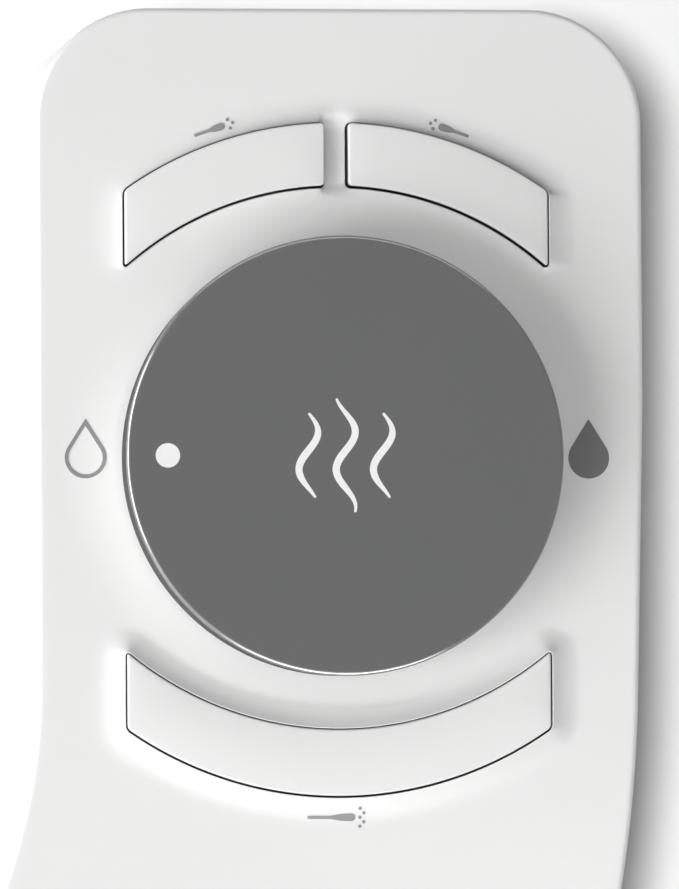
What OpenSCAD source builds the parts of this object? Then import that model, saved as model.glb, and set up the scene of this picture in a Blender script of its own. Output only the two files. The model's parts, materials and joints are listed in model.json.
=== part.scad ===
// Electric bidet seat with a side control arm. Millimetres, +Z up.
// The origin is midway between the two mounting bolts, on the face that lies on the toilet bowl.
// -Y points to the front of the bowl. The control arm is on the sitter's right, at -X.

/* [Seat and lid] */
// Half width of the seat ring
seat_half_w = 178; // [174:1:180]
// How far the seat reaches in front of the mounting bolts
seat_reach = 470; // [450:1:480]
// Height of the seat's top at its front edge
seat_front_top = 42; // [40:1:44]
// Half width of the opening in the seat ring
hole_half_w = 108; // [100:1:112]
// Lean of the open lid, from closed
lid_open_deg = 102; // [98:1:104]
// Wall thickness of the lid
lid_wall = 3.5; // [3:0.5:4]

/* [Control arm] */
// Width of the control panel
panel_w = 85.2; // [83:0.2:88]
// Height of the control panel's top above the bowl
panel_top = 48; // [47:0.5:49]
// Radius of the panel's two front corners
panel_corner_r = 16; // [12:1:20]
// Radius of the dial's face
dial_r = 30.6; // [28:0.2:31]
// Height of the dial above the panel
dial_rise = 9.7; // [8:0.1:11]
// Half width of the three keys' block
keys_half_w = 29.7; // [28:0.1:30]
// Travel of each key
key_travel = 1.2; // [0.8:0.1:1.4]
// How far the keys stand above the panel
key_rise = 1.6; // [1:0.1:2]

/* [Housing] */
// Half width of the rear housing
house_half_w = 195; // [190:1:200]
// Depth of the rear housing behind the mounting bolts
house_rear = 52; // [50:1:56]
// Height of the rear housing's top
house_top = 100; // [96:1:104]
// Wall thickness of the casings
wall = 2.5; // [2:0.5:3]
// Height of the seam between the upper and lower casings
seam_z = 27; // [26.5:0.5:28]
// Radius of the housing's nose around the hinge
nose_r = 24; // [23:0.5:25]

/* [Mounting] */
// Distance between the two mounting bolts
bolt_spacing = 140; // [135:1:145]
// Half width of each bolt slot
slot_r = 4.6; // [4.3:0.1:5]
// Length of each bolt slot, end to end
slot_len = 24; // [16:1:30]
// Radius over the thread of the water inlet, G 1/2
inlet_r = 10.48; // [10:0.02:11]

/* [Spray nozzles] */
// Radius of a nozzle tube
nozzle_r = 6; // [5.6:0.1:6.2]
// Distance from the middle to each nozzle
nozzle_x = 10; // [10:0.5:11]
// Downward slope of the nozzles
nozzle_deg = 4; // [3:0.5:5]
// Number of teeth on a nozzle drive pinion
pinion_teeth = 16; // [15:1:17]

/* [Hidden] */
$fn = 64;

white = "whitesmoke";
grey = [0.43, 0.43, 0.43];
gap = 0.3;          // play between bodies that move past each other
eps = 0.01;         // overrun of a cut past a face

// hinge of the seat and the lid
hinge_y = -80;
hinge_z = 64;
hinge_pin_r = 5;
nose_half_w = 120;
ear_r = 11;
seat_ear_x = nose_half_w + 2;
ear_w = 14;
lid_ear_x = seat_ear_x + ear_w + 1;

// rear housing
house_front = hinge_y - nose_r;
step_y = -50;       // front of the housing's wide part
base_z = 2;         // lower edge of the casings
floor_z = 5.2;      // underside of the base's floor

// control arm, with its own edge on the seat's side and its tip towards the front
arm_inner_x = -198;
arm_tip_y = -282;
arm_outer_x = arm_inner_x - panel_w;
arm_bottom = 3;
neck_r = 83;        // inner sweep from the arm to the housing
neck_c = [-115, -188];
back_r = 190;       // outer sweep from the arm to the housing
taper_deg = 1.3;
taper_y = [-227, -186];
arm_gap = 0.5;      // seam between the arm's casing and the rear one
panel_t = 3;
dial_c = [arm_inner_x - panel_w / 2 + 0.6, -219];

// each key lies between two arcs: [radius, distance of the arc's centre behind the dial's]
front_outer_arc = [51.1, 4.2];
front_inner_arc = [44.5, 6.3];
sanitize_outer_arc = [51.5, -4.5];
sanitize_inner_arc = [46.2, -8.4];
keys_mid_gap = 1.7; // half the gap between the front and rear keys
key_play = 0.3;     // gap round each key in the panel
key_flange = 1.2;   // the flange that holds a key under the panel
pcb_top = 33;
pcb_t = 1.6;
switch_h = 4.3;

// nozzles: a frame of their own, with the tube along -Y
gate_half_w = 20;   // the opening in the housing's front that the nozzles leave through
gate_low = 8.5;
nozzle_exit = [0, house_front + 3.3, 17];
nozzle_len = 114;
nozzle_travel = 85;
tooth = 1;          // module of the rack and pinion
rack_pitch_h = nozzle_r + 1.6;
pinion_r = tooth * pinion_teeth / 2;
pinion_y = nozzle_len - nozzle_travel - 5;  // the rack stays in mesh over the whole travel
pressure_deg = 20;
backlash_deg = 1.3; // taken off each side of a pinion tooth

// seat ring and lid
seat_mid_y = -270;
seat_rear_y = -112;
hole_mid_y = -290;
hole_front = 122;
hole_rear = 112;
seat_rear_top = 54;
seat_low = 14;      // underside of the ring along its front and sides
seat_arch = 18;     // how far the underside rises at the rear, over the nozzles
shell_seam = 7;     // seam of the seat's shells above the underside
seat_wall = 2.5;
steps = 48;         // stations round the seat and the lid
lid_grow = 4;       // the lid's edge outside the seat's
lid_lift = 3.2;     // the closed lid's underside above the seat's top
lid_crown = 9;
lid_skirt = 10;

// ---------- helpers ----------

// Points on an arc about c, from angle a0 to a1 in n steps.
function arc(c, r, a0, a1, n = 10) =
    [for (i = [0 : n]) let (a = a0 + (a1 - a0) * i / n) c + r * [cos(a), sin(a)]];

// A power that keeps the sign.
function power(v, e) = v == 0 ? 0 : sign(v) * pow(abs(v), e);

// A soft step from 0 to 1.
function smooth(t) = let (k = min(max(t, 0), 1)) k * k * (3 - 2 * k);

// An outline point at angle a, from the half width hw, the reach towards the front and the rear,
// and the squareness of each half.
function oval(a, hw, mid_y, front, rear, n_front, n_rear) =
    let (n = sin(a) < 0 ? n_front : n_rear, reach = sin(a) < 0 ? front : rear)
    [hw * power(cos(a), 2 / n), mid_y + reach * power(sin(a), 2 / n)];

// The seat's edge at angle a, or the lid's with grow.
function seat_edge(a, grow = 0) =
    let (front = seat_reach + seat_mid_y + grow, rear = seat_rear_y - seat_mid_y + grow / 2)
    oval(a, seat_half_w + grow, seat_mid_y, front, rear, 2.15, 4);

// The opening's edge at angle a.
function hole_edge(a) = oval(a, hole_half_w, hole_mid_y, hole_front, hole_rear, 2.15, 2.6);

function seat_top(y) =
    seat_front_top + (seat_rear_top - seat_front_top) * (y + seat_reach) / (seat_rear_y + seat_reach);

function seat_under(y) = seat_low + seat_arch * smooth((y + 215) / 60);

// Joins closed sections of equal length into a ring, or into a capped solid when ring is false.
module loft(sections, ring = true) {
    n = len(sections);
    m = len(sections[0]);
    joins = ring ? n : n - 1;
    sides = [for (i = [0 : joins - 1], j = [0 : m - 1], k = [0, 1])
        let (here = i * m, next = (i + 1) % n * m, j2 = (j + 1) % m)
        k == 0 ? [here + j, here + j2, next + j2] : [here + j, next + j2, next + j]];
    caps = ring ? [] : [[for (j = [m - 1 : -1 : 0]) j], [for (j = [0 : m - 1]) (n - 1) * m + j]];
    polyhedron([for (s = sections) each s], concat(sides, caps), convexity = 8);
}

// Extrudes a Y-Z outline along X from x0 to x1.
module along_x(x0, x1) {
    translate([x0, 0, 0]) rotate([90, 0, 90]) linear_extrude(x1 - x0) children();
}

module rod_x(r, x0, x1, y, z) {
    translate([x0, y, z]) rotate([0, 90, 0]) cylinder(r = r, h = x1 - x0);
}

// A rod on the hinge's axis, from x0 to x1 away from the middle on side s.
module rod_x_side(s, r, x0, x1) {
    rod_x(r, s < 0 ? -x1 : x0, s < 0 ? -x0 : x1, hinge_y, hinge_z);
}

module block(low, high) {
    translate(low) cube(high - low);
}

// A self-tapping screw with its head at z0, pointing up.
module screw(at, z0, length, head_r, head_h, shank_r) {
    translate([at.x, at.y, z0]) cylinder(r = head_r, h = head_h);
    translate([at.x, at.y, z0 + head_h]) cylinder(r = shank_r, h = length);
}

// ---------- control arm ----------

// The arm seen from above, drawn in by e.
function arm_outline(e) =
    let (
        side_x = -nose_half_w - 1 - e,
        rear_x = -house_half_w - arm_gap - e,
        neck_a = acos((side_x - neck_c.x) / (neck_r + e)),
        outer = arm_outer_x + (taper_y[1] - taper_y[0]) * tan(taper_deg),
        back_c = [outer + back_r * cos(taper_deg), taper_y[1] - back_r * sin(taper_deg)],
        back_a = 180 - acos((back_c.x - rear_x) / (back_r - e)),
        r = panel_corner_r
    )
    concat(
        arc(neck_c, neck_r + e, neck_a, 180, 16),
        arc([arm_inner_x - r, arm_tip_y + r], r - e, 0, -90),
        arc([arm_outer_x + r, arm_tip_y + r], r - e, -90, -180),
        [[arm_outer_x + e, taper_y[0]]],
        arc(back_c, back_r - e, 180 - taper_deg, back_a, 16),
        [[rear_x, step_y - arm_gap - e], [side_x, step_y - arm_gap - e]]
    );

arm_bosses = [[-204.2, -238], [-276, -238], [-204.2, -186], [-276, -186], [-226, -92], [-158, -64]];
pcb_bosses = [[-214, -273], [-266, -273], [-214, -165], [-266, -165]];
harness_hole = [-168, step_y, 37];

// The outline of a key between x0 and x1, which are counted from the dial's centre, grown by g.
module key_outline(x0, x1, outer_arc, inner_arc, side, g) {
    translate(dial_c) intersection() {
        difference() {
            translate([0, outer_arc[1]]) circle(r = outer_arc[0] + g, $fn = 128);
            translate([0, inner_arc[1]]) circle(r = inner_arc[0] - g, $fn = 128);
        }
        translate([x0 - g, side < 0 ? -60 : 15]) square([x1 - x0 + 2 * g, 45]);
    }
}

module front_outline(g = 0) {
    key_outline(keys_mid_gap, keys_half_w, front_outer_arc, front_inner_arc, -1, g);
}

module rear_outline(g = 0) {
    key_outline(-keys_half_w, -keys_mid_gap, front_outer_arc, front_inner_arc, -1, g);
}

module sanitize_outline(g = 0) {
    key_outline(-keys_half_w, keys_half_w, sanitize_outer_arc, sanitize_inner_arc, 1, g);
}

function key_mid(x, inner_arc, outer_arc, side) =
    dial_c + [x, (inner_arc[1] + outer_arc[1]) / 2 + side * (sqrt(pow(inner_arc[0], 2) - x * x)
        + sqrt(pow(outer_arc[0], 2) - x * x)) / 2];

keys_mid_x = (keys_mid_gap + keys_half_w) / 2;
front_stem = key_mid(keys_mid_x, front_inner_arc, front_outer_arc, -1);
rear_stem = key_mid(-keys_mid_x, front_inner_arc, front_outer_arc, -1);
sanitize_stem = key_mid(0, sanitize_inner_arc, sanitize_outer_arc, 1);

// The way through for the wires between the arm and the housing.
module harness_bore() {
    translate(harness_hole + [0, 5, 0]) rotate([90, 0, 0]) cylinder(r = 4, h = 12);
}

module arm_cover() {
    ceiling = panel_top - panel_t;
    color(white) difference() {
        translate([0, 0, seam_z]) linear_extrude(panel_top - seam_z) polygon(arm_outline(0));
        difference() {
            translate([0, 0, seam_z - eps]) linear_extrude(ceiling - seam_z + eps)
                polygon(arm_outline(wall));
            for (b = arm_bosses) translate([b.x, b.y, seam_z]) cylinder(r = 3.2, h = 20);
            for (b = pcb_bosses) translate([b.x, b.y, pcb_top]) cylinder(r = 3.2, h = 14);
        }
        for (b = arm_bosses) translate([b.x, b.y, seam_z - 1]) cylinder(r = 1.3, h = 13);
        for (b = pcb_bosses) translate([b.x, b.y, pcb_top - 1]) cylinder(r = 1.25, h = 9);
        translate([dial_c.x, dial_c.y, ceiling - 1]) cylinder(r = 9.5, h = panel_t + 2);
        translate([0, 0, ceiling - 1]) linear_extrude(panel_t + 2) {
            front_outline(key_play);
            rear_outline(key_play);
            sanitize_outline(key_play);
        }
        harness_bore();
    }
}

module arm_base() {
    color(white) difference() {
        translate([0, 0, arm_bottom]) linear_extrude(seam_z - arm_bottom) polygon(arm_outline(0));
        difference() {
            translate([0, 0, arm_bottom + wall]) linear_extrude(seam_z) polygon(arm_outline(wall));
            for (b = arm_bosses) translate([b.x, b.y, 0]) cylinder(r = 4.4, h = seam_z);
        }
        for (b = arm_bosses) {
            translate([b.x, b.y, arm_bottom - 1]) cylinder(r = 3.2, h = 18);
            translate([b.x, b.y, 0]) cylinder(r = 1.6, h = seam_z + 1);
        }
    }
}

module arm_screws() {
    color("silver") for (b = arm_bosses) screw(b, arm_bottom + 14.6, 19, 2.9, 2.4, 1.25);
}

module control_pcb() {
    color("darkgreen") difference() {
        block([-271, -277, pcb_top - pcb_t], [-209, -161, pcb_top]);
        for (b = pcb_bosses) translate([b.x, b.y, pcb_top - 5]) cylinder(r = 1.5, h = 10);
    }
}

module pcb_screws() {
    color("silver") for (b = pcb_bosses) screw(b, pcb_top - pcb_t - 1.8, pcb_t + 7, 2.6, 1.8, 1.2);
}

module tact_switches() {
    color("dimgray") for (p = [front_stem, rear_stem, sanitize_stem]) {
        block([p.x - 3, p.y - 3, pcb_top], [p.x + 3, p.y + 3, pcb_top + 3.4]);
        translate([p.x, p.y, pcb_top + 3.4]) cylinder(r = 1.7, h = switch_h - 3.4);
    }
}

module encoder_body() {
    color("slategray") difference() {
        union() {
            block([dial_c.x - 6, dial_c.y - 6.5, pcb_top], [dial_c.x + 6, dial_c.y + 6.5, pcb_top + 6]);
            translate([dial_c.x, dial_c.y, pcb_top + 6]) cylinder(r = 4.5, h = 2.5);
        }
        translate([dial_c.x, dial_c.y, pcb_top + 1]) cylinder(r = 3.05, h = 12);
    }
}

module encoder_shaft() {
    color("silver") translate([dial_c.x, dial_c.y, pcb_top + 1.3]) cylinder(r = 3, h = 17);
}

module dial_hub() {
    color("dimgray") translate([dial_c.x, dial_c.y, 0]) difference() {
        union() {
            translate([0, 0, 42]) cylinder(r = 7, h = 13);
            translate([0, 0, panel_top + dial_rise - 4.4]) cylinder(r = 13, h = 2);
        }
        translate([0, 0, 41]) cylinder(r = 3.02, h = pcb_top + 18.4 - 41);
    }
}

module dial_seal() {
    color("black") translate([dial_c.x, dial_c.y, panel_top - panel_t]) difference() {
        cylinder(r = 9.5, h = panel_t);
        translate([0, 0, -1]) cylinder(r = 7.3, h = panel_t + 2);
    }
}

module dial_cap() {
    top = panel_top + dial_rise;
    edge = 0.8;
    rim = panel_top + 0.7;
    color(grey) translate([dial_c.x, dial_c.y, 0]) rotate_extrude($fn = 128) polygon(concat(
        [[0, top - 2.4], [dial_r - 3, top - 2.4], [dial_r - 3, rim], [dial_r - 0.6, rim]],
        arc([dial_r - edge, top - edge], edge, 0, 90, 6),
        [[0, top]]
    ));
}

// A key: its cap, the flange under the panel, and the stem over its switch.
module key(stem) {
    top = panel_top + key_rise;
    ceiling = panel_top - panel_t;
    translate([0, 0, ceiling - gap]) linear_extrude(top - ceiling + gap) children(0);
    translate([0, 0, ceiling - gap - 1.6]) linear_extrude(1.6) children(1);
    stem_low = pcb_top + switch_h + key_travel + gap;
    translate([stem.x, stem.y, stem_low]) cylinder(r = 2.2, h = ceiling - gap - 1 - stem_low);
}

module front_key() {
    color(white) key(front_stem) {
        front_outline();
        key_outline(keys_mid_gap, keys_half_w, front_outer_arc, front_inner_arc, -1, key_flange);
    }
}

module rear_key() {
    color(white) key(rear_stem) {
        rear_outline();
        key_outline(-keys_half_w, -keys_mid_gap, front_outer_arc, front_inner_arc, -1, key_flange);
    }
}

module sanitize_key() {
    color(white) key(sanitize_stem) {
        sanitize_outline();
        sanitize_outline(key_flange);
    }
}

// ---------- rear housing ----------

// The deck of the housing seen from above, drawn in by e. The arm takes its place at -X.
function deck_outline(e) =
    let (w = house_half_w, f = house_front, b = house_rear, rf = 34, rb = 30)
    concat(
        [[-nose_half_w - 0.5 + e, f + e]],
        arc([w - rf, f + rf], rf - e, -90, 0, 14),
        arc([w - rb, b - rb], rb - e, 0, 90, 14),
        arc([-w + rb, b - rb], rb - e, 90, 180, 14),
        [[-w + e, step_y + e], [-nose_half_w - 0.5 + e, step_y + e]]
    );

// The wide part above the deck, seen from above.
function body_plan(e) =
    let (w = house_half_w - 5, b = house_rear, rb = 30, rf = 26)
    concat(
        arc([w - rf, step_y + rf], rf - e, -90, 0, 14),
        arc([w - rb, b - rb], rb - e, 0, 90, 14),
        arc([-w + rb, b - rb], rb - e, 90, 180, 14),
        arc([-w + rf, step_y + rf], rf - e, 180, 270, 14)
    );

// Its outline seen from the front.
function body_front(e) =
    let (w = house_half_w - 5, r = 34, low = panel_top - 10)
    concat(
        [[-w + e, low], [w - e, low]],
        arc([w - r, house_top - r], r - e, 0, 90, 14),
        arc([-w + r, house_top - r], r - e, 90, 180, 14)
    );

// Its outline seen from the side: [y, z].
function body_side(e) =
    let (b = house_rear, rb = 22, low = panel_top - 10)
    concat(
        [[b - e, low]],
        arc([b - rb, house_top - rb], rb - e, 0, 90, 14),
        arc([20, house_top - 110], 110 - e, 100, 128, 14),
        [[step_y + e, house_top - 34], [step_y + e, low]]
    );

// The nose round the hinge, seen from the side.
function nose_side(e) =
    concat(
        [[0, house_top - 4 - e]],
        arc([-10, house_top - 104], 100 - e, 96, 112, 8),
        arc([hinge_y, hinge_z], nose_r - e, 95, 180, 16),
        [[house_front + e, panel_top - 10], [0, panel_top - 10]]
    );

// The rear casing's outer form, drawn in by e and cut off below z0.
module casing_form(e, z0) {
    translate([0, 0, z0]) linear_extrude(panel_top - e - z0) polygon(deck_outline(e));
    intersection() {
        along_x(-house_half_w, house_half_w) polygon(body_side(e));
        translate([0, 200, 0]) rotate([90, 0, 0]) linear_extrude(400) polygon(body_front(e));
        linear_extrude(200) polygon(body_plan(e));
    }
    along_x(-nose_half_w + e, nose_half_w - e) polygon(nose_side(e));
}

cover_bosses = [
    [-182, 30], [182, -40], [-106, -60], [106, -60], [-40, 44], [40, 44], [140, 44], [-140, 44]
];
inlet_at = [house_half_w, 22, 24];
gland_at = [-house_half_w, 8, 16];
release_at = [house_half_w, -28, 16];

module rear_cover() {
    color(white) difference() {
        casing_form(0, seam_z);
        difference() {
            casing_form(wall, seam_z - 1);
            for (b = cover_bosses) translate([b.x, b.y, seam_z]) cylinder(r = 4, h = house_top - seam_z);
        }
        for (b = cover_bosses) translate([b.x, b.y, seam_z - 1]) cylinder(r = 1.6, h = 15);
        for (s = [-1, 1]) rod_x_side(s, 7.02, nose_half_w - 6, nose_half_w + 6);
        harness_bore();
        rod_x(inlet_r + 0.4, inlet_at.x - 10, inlet_at.x + 10, inlet_at.y, inlet_at.z);
    }
}

slot_pockets = [-bolt_spacing / 2, bolt_spacing / 2];

module rear_base() {
    pocket = [slot_len / 2 + 8, 15, 10];
    color(white) difference() {
        union() {
            difference() {
                translate([0, 0, base_z]) linear_extrude(seam_z - base_z) polygon(deck_outline(0));
                translate([0, 0, floor_z + wall]) linear_extrude(seam_z) polygon(deck_outline(wall));
                translate([0, 0, 0]) linear_extrude(floor_z) polygon(deck_outline(wall));
            }
            for (x = slot_pockets)
                block([x - pocket.x - wall, -pocket.y - wall, floor_z],
                    [x + pocket.x + wall, pocket.y + wall, floor_z + pocket.z + wall]);
            for (b = cover_bosses) translate([b.x, b.y, floor_z]) cylinder(r = 5, h = seam_z - floor_z);
        }
        for (x = slot_pockets)
            block([x - pocket.x, -pocket.y, 0], [x + pocket.x, pocket.y, floor_z + pocket.z]);
        for (b = cover_bosses) {
            translate([b.x, b.y, 0]) cylinder(r = 3.6, h = 18);
            translate([b.x, b.y, 0]) cylinder(r = 2, h = seam_z + 1);
        }
        block([-gate_half_w, house_front - 1, gate_low], [gate_half_w, house_front + wall + 1, seam_z + 1]);
        rod_x(inlet_r + 0.4, inlet_at.x - 10, inlet_at.x + 10, inlet_at.y, inlet_at.z);
        rod_x(5.2, gland_at.x - 10, gland_at.x + 10, gland_at.y, gland_at.z);
        block([release_at.x - 5, release_at.y - 10.4, release_at.z - 5.4],
            [release_at.x + 5, release_at.y + 10.4, release_at.z + 5.4]);
    }
}

module cover_screws() {
    color("silver") for (b = cover_bosses) screw(b, 15.4, 22, 3.2, 2.6, 1.55);
}

// The two bolt slots, from z = low to high.
module slots(low, high) {
    end = slot_len / 2 - slot_r;
    for (x = slot_pockets) {
        for (s = [-1, 1]) translate([x + s * end, 0, low]) cylinder(r = slot_r, h = high - low);
        block([x - end, -slot_r, low], [x + end, slot_r, high]);
    }
}

module mounting_plate() {
    color("lightgray") difference() {
        block([-108, -32, 1.5], [108, 28, 5]);
        slots(0, 6);
    }
}

module plate_pad() {
    color("dimgray") difference() {
        block([-106, -30, 0], [106, 26, 1.5]);
        slots(-1, 3);
    }
}

module base_feet() {
    color("dimgray") for (p = [[-160, 34], [160, 34], [104, -84], [-104, -84]])
        translate([p.x, p.y, 0]) cylinder(r = 7, h = floor_z);
}

// The push button and its slide bar, which frees the housing from the mounting plate.
module release_button() {
    color("gainsboro") {
        block([release_at.x - 4, release_at.y - 10, release_at.z - 5],
            [release_at.x + 3, release_at.y + 10, release_at.z + 5]);
        block([120, release_at.y - 5, release_at.z - 3],
            [release_at.x - 4, release_at.y + 5, release_at.z + 3]);
    }
}

// ---------- inside the rear housing ----------

module power_module() {
    color("darkslategray") {
        block([-176, -36, 10], [-98, 14, 13]);
        block([-172, -32, 13], [-136, 10, 44]);
        block([-132, -32, 13], [-104, 10, 36]);
    }
}

module main_pcb() {
    color("darkgreen") {
        block([-130, -36, 72], [20, 30, 73.6]);
        for (x = [-116, -86, -56, -26]) block([x, -26, 73.6], [x + 18, -8, 80]);
        block([-130, -36, 66], [-112, -26, 72]);
    }
}

module water_heater() {
    color("dimgray") {
        rod_x(17, 78, 146, -14, 46);
        for (x = [74, 146]) rod_x(20, x, x + 4, -14, 46);
        for (x = [88, 136]) translate([x, -14, 60]) cylinder(r = 4, h = 10);
    }
}

module inlet_valve() {
    color("gainsboro") difference() {
        union() {
            rod_x(inlet_r - 1, 188, inlet_at.x + 0.5, inlet_at.y, inlet_at.z);
            rod_x(inlet_r, inlet_at.x + 0.5, inlet_at.x + 18.5, inlet_at.y, inlet_at.z);
            block([152, inlet_at.y - 12, 12], [188, inlet_at.y + 12, 36]);
            translate([166, inlet_at.y, 36]) cylinder(r = 10, h = 22);
            rod_x(4, 146, 152, inlet_at.y, 24);
        }
        rod_x(7, 176, inlet_at.x + 30, inlet_at.y, inlet_at.z);
    }
}

module inlet_strainer() {
    color("lightsteelblue") difference() {
        rod_x(6.7, 190, inlet_at.x + 12, inlet_at.y, inlet_at.z);
        rod_x(5.5, 192, inlet_at.x + 30, inlet_at.y, inlet_at.z);
    }
}

module flow_diverter() {
    color("lightgray") {
        block([-22, 18, 12], [22, 38, 34]);
        translate([0, 28, 34]) cylinder(r = 10, h = 16);
        for (x = [-nozzle_x, nozzle_x]) translate([x, 18, 25]) rotate([90, 0, 0]) cylinder(r = 2.4, h = 4);
    }
}

module sanitizer_cell() {
    color("lightblue") {
        rod_x(11, 50, 104, 32, 30);
        rod_x(3, 40, 50, 32, 30);
        rod_x(3, 104, 112, 32, 30);
    }
}

// A hose with rounded corners through the points of its route.
module hose(route, r) {
    for (i = [0 : len(route) - 2]) hull() {
        translate(route[i]) sphere(r = r, $fn = 16);
        translate(route[i + 1]) sphere(r = r, $fn = 16);
    }
}

module internal_hoses() {
    color("white") {
        hose([[136, -14, 74.2], [135, 0, 75.2], [134, 22, 64], [138, 22, 24], [141.8, 22, 24]], 4);
        hose([[88, -14, 74.2], [96, 0, 75.2], [112, 30, 62], [116.4, 32, 30]], 4);
        rod_x(3, 22.2, 39.8, 32, 30);
    }
}

module wiring_harness() {
    color("black") hose([[-121, -31, 63.4], [-121, -40, 44], [-168, -45, 37], [-168, -60, 37],
        [-205, -110, 34], [-232, -150, 28.8], [-232, -170, 28.8]], 2.4);
}

module mains_inlet_gland() {
    color("dimgray") difference() {
        union() {
            rod_x(5, gland_at.x - 3, gland_at.x + 9, gland_at.y, gland_at.z);
            rod_x(7.5, gland_at.x - 5, gland_at.x - 0.2, gland_at.y, gland_at.z);
            rod_x(6.5, gland_at.x + wall + 0.2, gland_at.x + wall + 3, gland_at.y, gland_at.z);
        }
        rod_x(3.2, gland_at.x - 10, gland_at.x + 20, gland_at.y, gland_at.z);
    }
}

// ---------- nozzles ----------

// A nozzle's own frame: Y runs back along the tube from its exit.
module nozzle_frame(x) {
    translate([x, nozzle_exit.y, nozzle_exit.z]) rotate([nozzle_deg, 0, 0]) children();
}

module nozzle_cradle() {
    color("gainsboro") nozzle_frame(0) difference() {
        block([-19, 6, -7.9], [19, 100, 4]);
        for (x = [-nozzle_x, nozzle_x]) {
            translate([x, 0, 0]) rotate([-90, 0, 0]) cylinder(r = nozzle_r + 0.2, h = 120);
            block([x - 3.2, 0, 0], [x + 3.2, 120, 10]);
        }
    }
}

// A rack tooth lies under the pinion's axle at rest, and the others are whole pitches away.
function rack_y(i) = pinion_y + i * PI * tooth;

// The tube, with a rack along its back.
module nozzle_tube(x) {
    rack_from = 18;
    rack_to = nozzle_len - 1;
    nozzle_frame(x) difference() {
        union() {
            translate([0, 14, 0]) rotate([-90, 0, 0]) cylinder(r = nozzle_r, h = nozzle_len - 14);
            block([-2.5, rack_from, 0], [2.5, rack_to, rack_pitch_h - 1.2]);
            for (i = [-40 : 40]) if (rack_y(i) > rack_from + 1.2 && rack_y(i) < rack_to - 1.2)
                translate([-2.5, rack_y(i), rack_pitch_h]) rotate([90, 0, 90]) linear_extrude(5) polygon([
                    [-1.15, -1.25], [1.15, -1.25], [0.38, 0.85], [-0.38, 0.85]]);
        }
        translate([0, 10, 0]) rotate([-90, 0, 0]) cylinder(r = 2.5, h = nozzle_len);
    }
}

// The tip, with a blunt round nose, spray holes on its top and a spigot in the tube.
module nozzle_tip(x, holes) {
    nose_y = 5;
    nozzle_frame(x) difference() {
        rotate([-90, 0, 0]) rotate_extrude() polygon(concat(
            [[0, nose_y - nozzle_r * sin(48)]],
            arc([0, nose_y], nozzle_r, -48, 0, 8),
            [[nozzle_r, 14], [2.4, 14], [2.4, 20], [0, 20]]
        ));
        for (i = [0 : holes - 1]) translate([0, 8.5, 0]) rotate([0, 0, i * 360 / holes])
            translate([2, 0, 2]) cylinder(r = 0.6, h = 10);
    }
}

module front_nozzle() { color("ivory") nozzle_tube(-nozzle_x); }
module rear_nozzle() { color("ivory") nozzle_tube(nozzle_x); }
module front_nozzle_tip() { color("white") nozzle_tip(-nozzle_x, 5); }
module rear_nozzle_tip() { color("white") nozzle_tip(nozzle_x, 3); }

// A point of an involute flank, at roll angle t in degrees and turned by a.
function involute(base_r, t, a) =
    base_r * [cos(a + t) + t * PI / 180 * sin(a + t), sin(a + t) - t * PI / 180 * cos(a + t)];

function mirror_y(p) = [p.x, -p.y];

function turn(p, a) = [p.x * cos(a) - p.y * sin(a), p.x * sin(a) + p.y * cos(a)];

// One tooth of the pinion, pointing along X, from root to root.
function pinion_tooth() =
    let (
        base_r = pinion_r * cos(pressure_deg),
        root_r = pinion_r - 1.3 * tooth,
        roll = sqrt(pow((pinion_r + 0.8 * tooth) / base_r, 2) - 1) * 180 / PI,
        half = 90 / pinion_teeth - backlash_deg + tan(pressure_deg) * 180 / PI - pressure_deg,
        root = root_r * [cos(half + 1), -sin(half + 1)],
        flank = concat([root], [for (i = [0 : 5]) involute(base_r, roll * i / 5, -half)])
    )
    concat(flank, [for (i = [6 : -1 : 0]) mirror_y(flank[i])]);

// A gap between two teeth faces the rack at rest.
module pinion(x) {
    nozzle_frame(x) translate([-2, pinion_y, rack_pitch_h + pinion_r]) rotate([90, 0, 90]) difference() {
        linear_extrude(4) polygon([for (i = [0 : pinion_teeth - 1])
            each [for (p = pinion_tooth()) turn(p, (i + 0.5) * 360 / pinion_teeth - 90)]]);
        translate([0, 0, -1]) cylinder(r = 2.05, h = 6);
    }
}

module front_pinion() { color("beige") pinion(-nozzle_x); }
module rear_pinion() { color("beige") pinion(nozzle_x); }

module nozzle_motors() {
    color("silver") for (s = [-1, 1]) nozzle_frame(0) {
        rod_x(12, s < 0 ? -36 : 20.5, s < 0 ? -20.5 : 36, pinion_y, rack_pitch_h + pinion_r);
        rod_x(2, s < 0 ? -20.5 : 6, s < 0 ? -6 : 20.5, pinion_y, rack_pitch_h + pinion_r);
    }
}

// ---------- hinge ----------

module hinge_pins() {
    color("silver") for (s = [-1, 1]) rod_x_side(s, hinge_pin_r, nose_half_w - 42, lid_ear_x + ear_w - 0.5);
}

module hinge_bushes() {
    color("ivory") for (s = [-1, 1]) difference() {
        union() {
            rod_x_side(s, 7, nose_half_w - 2.6, nose_half_w + 1.6);
            rod_x_side(s, 9, nose_half_w + 0.05, nose_half_w + 1.6);
        }
        rod_x_side(s, hinge_pin_r + 0.03, nose_half_w - 10, nose_half_w + 10);
    }
}

// A rotary damper on the hinge's axis, on side s.
module damper(s) {
    difference() {
        union() {
            rod_x_side(s, 10, nose_half_w - 44, nose_half_w - 4);
            rod_x_side(s, 13, nose_half_w - 30, nose_half_w - 26);
        }
        rod_x_side(s, hinge_pin_r + 0.03, nose_half_w - 50, nose_half_w);
    }
}

module seat_damper() { color("dimgray") damper(-1); }
module lid_damper() { color("dimgray") damper(1); }

// ---------- seat ----------

// The middle of the ring at station a.
function ring_mid(a) = (seat_edge(a) + hole_edge(a)) / 2;
function ring_top(a) = seat_top(ring_mid(a).y);
function ring_low(a) = seat_under(ring_mid(a).y);
function ring_seam(a) = ring_low(a) + shell_seam;

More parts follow.
